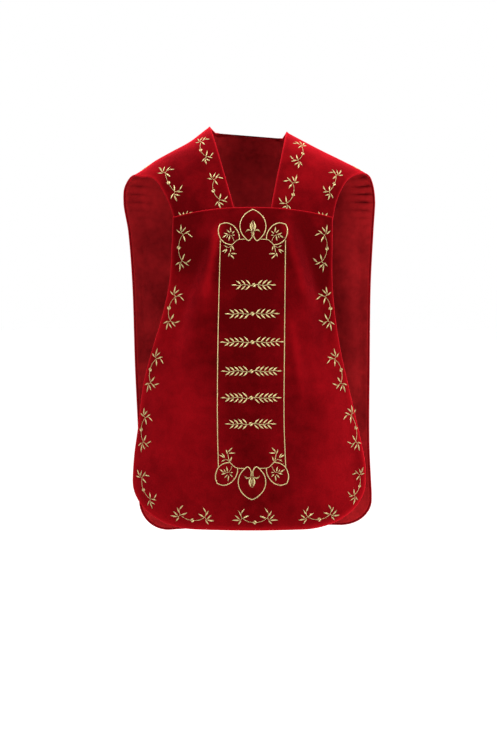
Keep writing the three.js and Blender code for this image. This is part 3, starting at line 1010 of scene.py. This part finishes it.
def sew_back():
    """All the embroidery of the back and its wings."""
    s = Stitching()
    for k, (x0, z0, x1, z1, bow) in enumerate(WING_SPRIGS):
        v0, v1 = length_here(x0, z0, False), length_here(x1, z1, False)
        sew_sprig(s, back_at, x0, v0, x1, v1, bow, 30 + k)
    fan = joined(leaves(COVERED_LEAVES))
    for x, z, hand in COVERED_SPRIGS:
        v = length_here(x, z, False)
        s.placed(back_at, scaled(fan, hand, 1), x, v, ACROSS)
    for hand in (-1, 1):
        run, x, v = back_border(hand)
        count = int(round((run[-1] - SPRIG_LONG / 2) / BORDER_PITCH))
        pitch = (run[-1] - SPRIG_LONG / 2) / count
        for k in range(count + (hand < 0)):
            at = SPRIG_LONG / 2 + k * pitch
            ends = np.array([at - SPRIG_LONG / 2, at + SPRIG_LONG / 2])
            x_ends, v_ends = np.interp(ends, run, x), np.interp(ends, run, v)
            if k == count:
                x_ends[1], v_ends[1] = 2 * x[-1] - x_ends[0], v_ends[0]
            sew_sprig(s, back_at, x_ends[0], v_ends[0], x_ends[1], v_ends[1], hand, 200 + 20 * k + hand)
    nape = length_here(0, NAPE_SPRIG["z"], True)
    sew_sprig(s, back_at, NAPE_SPRIG["from"], nape, NAPE_SPRIG["to"], nape, -1, 160)

    def place(x, z):
        return -x, length_at(-x, z, True)

    column(s, back_at, place, *BACK_COLUMN)
    for k in range(BACK_ROWS["count"]):
        v = length_here(0, BACK_ROWS["z"] - BACK_ROWS["pitch"] * k, True)
        s.placed(back_at, spray(BACK_ROWS["long"][k % 2], 180 + k), 0.0, v, -ACROSS)
    return s.mesh("embroidery_back")


def new_group(name, inputs, outputs):
    """An empty node group with sockets given as name and kind, and its two end nodes."""
    group = bpy.data.node_groups.new(name, "ShaderNodeTree")
    for way, sockets in (("INPUT", inputs), ("OUTPUT", outputs)):
        for socket, kind in sockets:
            group.interface.new_socket(socket, in_out=way, socket_type="NodeSocket" + kind)
    nodes = group.nodes
    return group, nodes.new("NodeGroupInput").outputs, nodes.new("NodeGroupOutput").inputs


def noise_node(group, where, scale, detail, rough):
    """A noise texture read at a place, its scale from a socket or a number."""
    noise = group.nodes.new("ShaderNodeTexNoise")
    noise.inputs["Detail"].default_value = detail
    noise.inputs["Roughness"].default_value = rough
    group.links.new(where, noise.inputs["Vector"])
    if isinstance(scale, float):
        noise.inputs["Scale"].default_value = scale
    else:
        group.links.new(scale, noise.inputs["Scale"])
    return noise.outputs["Fac"]


def math_node(group, operation, a, b):
    """A math node on sockets or numbers."""
    node = group.nodes.new("ShaderNodeMath")
    node.operation = operation
    for socket, value in zip(node.inputs, (a, b)):
        if isinstance(value, float):
            socket.default_value = value
        else:
            group.links.new(value, socket)
    return node.outputs[0]


def mix_node(tree, share, first, second):
    """A colour mixed from the first to the second by a share, each a socket or a colour."""
    mix = tree.nodes.new("ShaderNodeMix")
    mix.data_type = "RGBA"
    tree.links.new(share, mix.inputs[0])
    for socket, value in ((mix.inputs[6], first), (mix.inputs[7], second)):
        if isinstance(value, tuple):
            socket.default_value = value
        else:
            tree.links.new(value, socket)
    return mix.outputs[2]


def colour_group():
    """Node group: a cloth's colour, two close shades mixed by soft clouds with finer ones and by
    painted light and shade, then mixed towards a painted edge sheen colour.
    """
    group, given, out = new_group(
        "cloth_clouds_and_painted_light",
        (("Dark", "Color"), ("Light", "Color"), ("Edge", "Color"))
        + (("Cloud Size", "Float"), ("Patch Size", "Float"), ("Nap", "Float"), ("Edge Share", "Float")),
        (("Color", "Color"), ("Cloud", "Float")),
    )
    where = group.nodes.new("ShaderNodeTexCoord").outputs["Object"]
    wide = noise_node(group, where, given["Cloud Size"], 2.0, 0.5)
    fine = noise_node(group, where, given["Patch Size"], 4.0, 0.65)
    wide = math_node(group, "MULTIPLY", wide, 0.6)
    both = math_node(group, "ADD", wide, math_node(group, "MULTIPLY", fine, 0.4))
    # Painted light and shade shifts the mix between the two shades
    both = math_node(group, "ADD", both, math_node(group, "MULTIPLY", given["Nap"], 0.2))
    spread = group.nodes.new("ShaderNodeMapRange")
    spread.inputs["From Min"].default_value = 0.30
    spread.inputs["From Max"].default_value = 0.74
    group.links.new(both, spread.inputs["Value"])
    cloth = mix_node(group, spread.outputs["Result"], given["Dark"], given["Light"])
    # Painted sheen at the turned edges: the edge colour mixed in by its share
    group.links.new(mix_node(group, given["Edge Share"], cloth, given["Edge"]), out["Color"])
    group.links.new(spread.outputs["Result"], out["Cloud"])
    return group


def bump_node(group, height, strength, distance, normal=None):
    """A bump of a height by a strength, over a distance in metres, on another normal if given."""
    bump = group.nodes.new("ShaderNodeBump")
    bump.inputs["Distance"].default_value = distance
    group.links.new(height, bump.inputs["Height"])
    group.links.new(strength, bump.inputs["Strength"])
    if normal is not None:
        group.links.new(normal, bump.inputs["Normal"])
    return bump.outputs["Normal"]


def pile_group():
    """Node group: a normal that leans in soft patches and is roughened by a fine grain."""
    group, given, out = new_group(
        "cloth_pile",
        (("Grain", "Float"), ("Grain Strength", "Float"), ("Lean Size", "Float"), ("Lean Strength", "Float")),
        (("Normal", "Vector"),),
    )
    where = group.nodes.new("ShaderNodeTexCoord").outputs["Object"]
    lean = noise_node(group, where, given["Lean Size"], 3.0, 0.6)
    grain = noise_node(group, where, given["Grain"], 3.0, 0.6)
    normal = bump_node(group, lean, given["Lean Strength"], 0.01)
    group.links.new(bump_node(group, grain, given["Grain Strength"], 0.0015, normal), out["Normal"])
    return group


def gather_group():
    """Node group: level gathers where the cloth is marked as gathered, as a bumped normal and
    painted shade in the narrow valleys between them."""
    group, given, out = new_group(
        "cloth_gathers_and_painted_shade",
        (("Gather", "Float"), ("Nap", "Float"), ("Normal", "Vector")),
        (("Nap", "Float"), ("Normal", "Vector")),
    )
    wave = group.nodes.new("ShaderNodeTexWave")
    wave.bands_direction = "Z"
    wave.inputs["Scale"].default_value = 15.5
    wave.inputs["Distortion"].default_value = 3.0
    wave.inputs["Detail"].default_value = 1.0
    wave.inputs["Detail Scale"].default_value = 0.6
    group.links.new(group.nodes.new("ShaderNodeTexCoord").outputs["Object"], wave.inputs["Vector"])
    swell = math_node(group, "POWER", wave.outputs["Fac"], 0.35)
    height = math_node(group, "MULTIPLY", swell, given["Gather"])
    # Painted shade in the valleys, added to the painted light and shade
    valley = math_node(group, "SUBTRACT", height, given["Gather"])
    darker = math_node(group, "MULTIPLY", valley, 3.0)
    group.links.new(math_node(group, "ADD", given["Nap"], darker), out["Nap"])
    group.links.new(bump_node(group, height, given["Gather"], 0.004, given["Normal"]), out["Normal"])
    return group


def thread_group():
    """Node group for laid thread: a normal ridged across the stitch coordinates, and a share of
    painted highlight that follows the ridges and paints one side of each leaf or line lighter."""
    group, given, out = new_group(
        "laid_thread_and_painted_highlight", (("Strength", "Float"),), (("Normal", "Vector"), ("Painted_Highlight", "Float"))
    )
    where = group.nodes.new("ShaderNodeUVMap")
    where.uv_map = "stitch"
    wave = group.nodes.new("ShaderNodeTexWave")
    wave.inputs["Scale"].default_value = 0.42
    wave.inputs["Distortion"].default_value = 0.8
    across = group.nodes.new("ShaderNodeSeparateXYZ")
    side = group.nodes.new("ShaderNodeMapRange")
    side.inputs["From Min"].default_value = -1.0
    side.inputs["From Max"].default_value = 0.6
    group.links.new(where.outputs["UV"], wave.inputs["Vector"])
    group.links.new(where.outputs["UV"], across.inputs["Vector"])
    group.links.new(across.outputs["Y"], side.inputs["Value"])
    group.links.new(bump_node(group, wave.outputs["Fac"], given["Strength"], 0.0006), out["Normal"])
    # Painted highlight on the thread ridges, and painted light on one side
    ridge = math_node(group, "MULTIPLY", wave.outputs["Fac"], 0.5)
    lighter = math_node(group, "MULTIPLY", side.outputs["Result"], 0.55)
    group.links.new(math_node(group, "ADD", ridge, lighter), out["Painted_Highlight"])
    return group


def new_material(name, shader):
    """A material whose shader's own sockets are set from a table."""
    material = bpy.data.materials.new(name)
    material.use_nodes = True
    bsdf = material.node_tree.nodes["Principled BSDF"]
    for socket, value in shader.items():
        bsdf.inputs[socket].default_value = value
    return material, material.node_tree, bsdf


def group_node(tree, group, values):
    """A node group placed in a material with its own values."""
    node = tree.nodes.new("ShaderNodeGroup")
    node.node_tree = group
    for socket, value in values.items():
        node.inputs[socket].default_value = value
    return node


def cloth_material(name, groups, clouds, pile, shader, gathered=False):
    """A cloth: clouded colour with painted light, shade and edge sheen, and roughened normal,
    gathered where it is marked, with painted shade in the gathers.
    """
    material, tree, bsdf = new_material(name, shader)
    colour = group_node(tree, groups["clouds"], clouds)
    marks = {}
    # Painted light and shade and painted edge sheen come in as point attributes
    for attribute in ("nap", "turned_edge") + (("gather",) if gathered else ()):
        mark = tree.nodes.new("ShaderNodeAttribute")
        mark.attribute_name = attribute
        marks[attribute] = mark.outputs["Fac"]
    normal = group_node(tree, groups["pile"], pile).outputs["Normal"]
    if gathered:
        gathers = group_node(tree, groups["gathers"], {})
        tree.links.new(marks["gather"], gathers.inputs["Gather"])
        tree.links.new(marks["nap"], gathers.inputs["Nap"])
        tree.links.new(normal, gathers.inputs["Normal"])
        marks["nap"], normal = gathers.outputs["Nap"], gathers.outputs["Normal"]
    tree.links.new(marks["nap"], colour.inputs["Nap"])
    tree.links.new(marks["turned_edge"], colour.inputs["Edge Share"])
    tree.links.new(colour.outputs["Color"], bsdf.inputs["Base Color"])
    tree.links.new(normal, bsdf.inputs["Normal"])
    return material


def gold_material(groups):
    """Pale gold thread: two shades mixed by painted highlights on the laid thread's ridges and sides."""
    material, tree, bsdf = new_material(
        "gold_thread", {"Roughness": 0.4, "Metallic": 0.35, "Specular IOR Level": 0.6}
    )
    thread = group_node(tree, groups["thread"], {"Strength": 0.5})
    # Painted highlights mix the gold from its dark shade to its light one
    colour = mix_node(tree, thread.outputs["Painted_Highlight"], GOLD_DARK, GOLD_LIGHT)
    tree.links.new(colour, bsdf.inputs["Base Color"])
    tree.links.new(thread.outputs["Normal"], bsdf.inputs["Normal"])
    return material


def make_camera():
    """The photograph's viewpoint: far away, level with the middle of the garment, tipped down
    until the horizon falls on its measured row."""
    data = bpy.data.cameras.new("camera")
    camera = bpy.data.objects.new("camera", data)
    bpy.context.scene.collection.objects.link(camera)
    focal_pixels = CAMERA_AWAY_MM / PIXEL_MM
    data.sensor_fit = "VERTICAL"
    data.sensor_height = 24.0
    data.lens = data.sensor_height * focal_pixels / PHOTO_HEIGHT
    data.clip_end = 100
    tip = math.atan((PHOTO_HEIGHT / 2 - HORIZON_ROW) / focal_pixels)
    camera.location = (CAMERA_X_MM * MM, -CAMERA_AWAY_MM * MM, CAMERA_Z_MM * MM)
    camera.rotation_euler = (math.pi / 2 - tip, 0, 0)
    bpy.context.scene.camera = camera


def make_stage():
    """A plain pale floor and a pale world."""
    mesh = bpy.data.meshes.new("floor")
    s, z = FLOOR_HALF, FLOOR_Z_MM * MM
    corners = [(-s, -s, z), (s, -s, z), (s, s, z), (-s, s, z)]
    mesh.from_pydata(corners, [], [(0, 1, 2, 3)])
    floor = bpy.data.objects.new("floor", mesh)
    bpy.context.scene.collection.objects.link(floor)
    shader = {"Base Color": (0.96, 0.96, 0.96, 1), "Roughness": 0.9, "Emission Color": (1, 1, 1, 1)}
    white, _, _ = new_material("floor_white", {**shader, "Emission Strength": 0.06})
    floor.data.materials.append(white)
    world = bpy.data.worlds.new("world")
    bpy.context.scene.world = world
    world.use_nodes = True
    world.node_tree.nodes["Background"].inputs["Color"].default_value = (1, 1, 1, 1)
    world.node_tree.nodes["Background"].inputs["Strength"].default_value = 1.0
    bpy.context.scene.view_settings.view_transform = "Standard"


def make_light(name, place, aim, size, watts):
    """A soft square lamp at a place, turned to a point."""
    data = bpy.data.lights.new(name, "AREA")
    data.size = size
    data.energy = watts
    lamp = bpy.data.objects.new(name, data)
    bpy.context.scene.collection.objects.link(lamp)
    lamp.location = place
    away = np.array(place) - np.array(aim)
    flat = math.hypot(away[0], away[1])
    lamp.rotation_euler = (math.atan2(flat, away[2]), 0, math.atan2(away[1], away[0]) + math.pi / 2)


make_camera()
make_stage()
for lamp in LAMPS:
    make_light(*lamp)

NEAR_MM = np.array([0.0, 0.35, 0.9, 1.6, 2.6, 4.2, 7.0])
wing_share = shares(34, NEAR_MM / 225)
across = shares(84, NEAR_MM / 500) * 2 - 1  # of the front panel, left edge to right edge
rows_front = np.linspace(1, 0, 38) ** 1.7
rows_behind = (np.linspace(0, 1, 14)[1:]) ** 2
rows_down = shares(150, NEAR_MM / 960)
rows_up = shares(118, NEAR_MM / 780)

back_points, back_cells = back_grid(wing_share, 30, rows_front, rows_behind, rows_down)
front_points, front_cells = front_grid(across, rows_up)


back_rolls = (EDGE_ROLL, EDGE_ROLL)
front_rolls = (EDGE_ROLL, VELVET_THICK / 2)
below = VELVET_THICK + SEAM_GAP
back, back_area = cloth_shell(
    "back_velvet", back_points, back_cells, 0, VELVET_THICK, back_marks, rolls=back_rolls
)
lining, lining_area = cloth_shell(
    "back_lining_cloth", back_points, back_cells, below, LINING_THICK, lining_marks, inset=LINING_INSET
)
front, front_area = cloth_shell(
    "front_velvet", front_points, front_cells, 0, VELVET_THICK, front_marks, rolls=front_rolls, lined=True
)
gold_front = sew_front()
gold_back = sew_back()

groups = {
    "clouds": colour_group(),
    "pile": pile_group(),
    "gathers": gather_group(),
    "thread": thread_group(),
}
velvet = cloth_material(
    "velvet",
    groups,
    {"Dark": VELVET_DARK, "Light": VELVET_LIGHT, "Edge": VELVET_EDGE_SHEEN, "Cloud Size": 8.0, "Patch Size": 34.0},
    {"Grain": 1100.0, "Grain Strength": 0.3, "Lean Size": 22.0, "Lean Strength": 0.22},
    {
        "Roughness": 0.85,
        "Specular IOR Level": 0.0,
        "Sheen Weight": 1.0,
        "Sheen Roughness": 0.42,
        "Sheen Tint": (1.0, 0.025, 0.045, 1),
    },
)
# The lining's edge colour is its light shade, mixed in as a painted edge sheen
satin = cloth_material(
    "lining_cloth",
    groups,
    {"Dark": LINING_DARK, "Light": LINING_LIGHT, "Edge": LINING_LIGHT, "Cloud Size": 9.0, "Patch Size": 60.0},
    {"Grain": 1500.0, "Grain Strength": 0.12, "Lean Size": 14.0, "Lean Strength": 0.06},
    {
        "Roughness": 0.48,
        "Metallic": 0.3,
        "Specular IOR Level": 0.0,
        "Sheen Weight": 0.3,
        "Sheen Roughness": 0.4,
        "Sheen Tint": (1.0, 0.03, 0.04, 1),
    },
    gathered=True,
)
gold = gold_material(groups)

for piece, material, slot in (
    (back, velvet, "velvet"),
    (front, velvet, "velvet"),
    (lining, satin, "lining"),
    (gold_front, gold, "gold_thread"),
    (gold_back, gold, "gold_thread"),
):
    piece.data.materials.append(material)
    if piece is front:
        piece.data.materials.append(satin)
    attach(piece, "root")
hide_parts("back_panel")
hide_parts("back_lining")
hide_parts("front_panel")
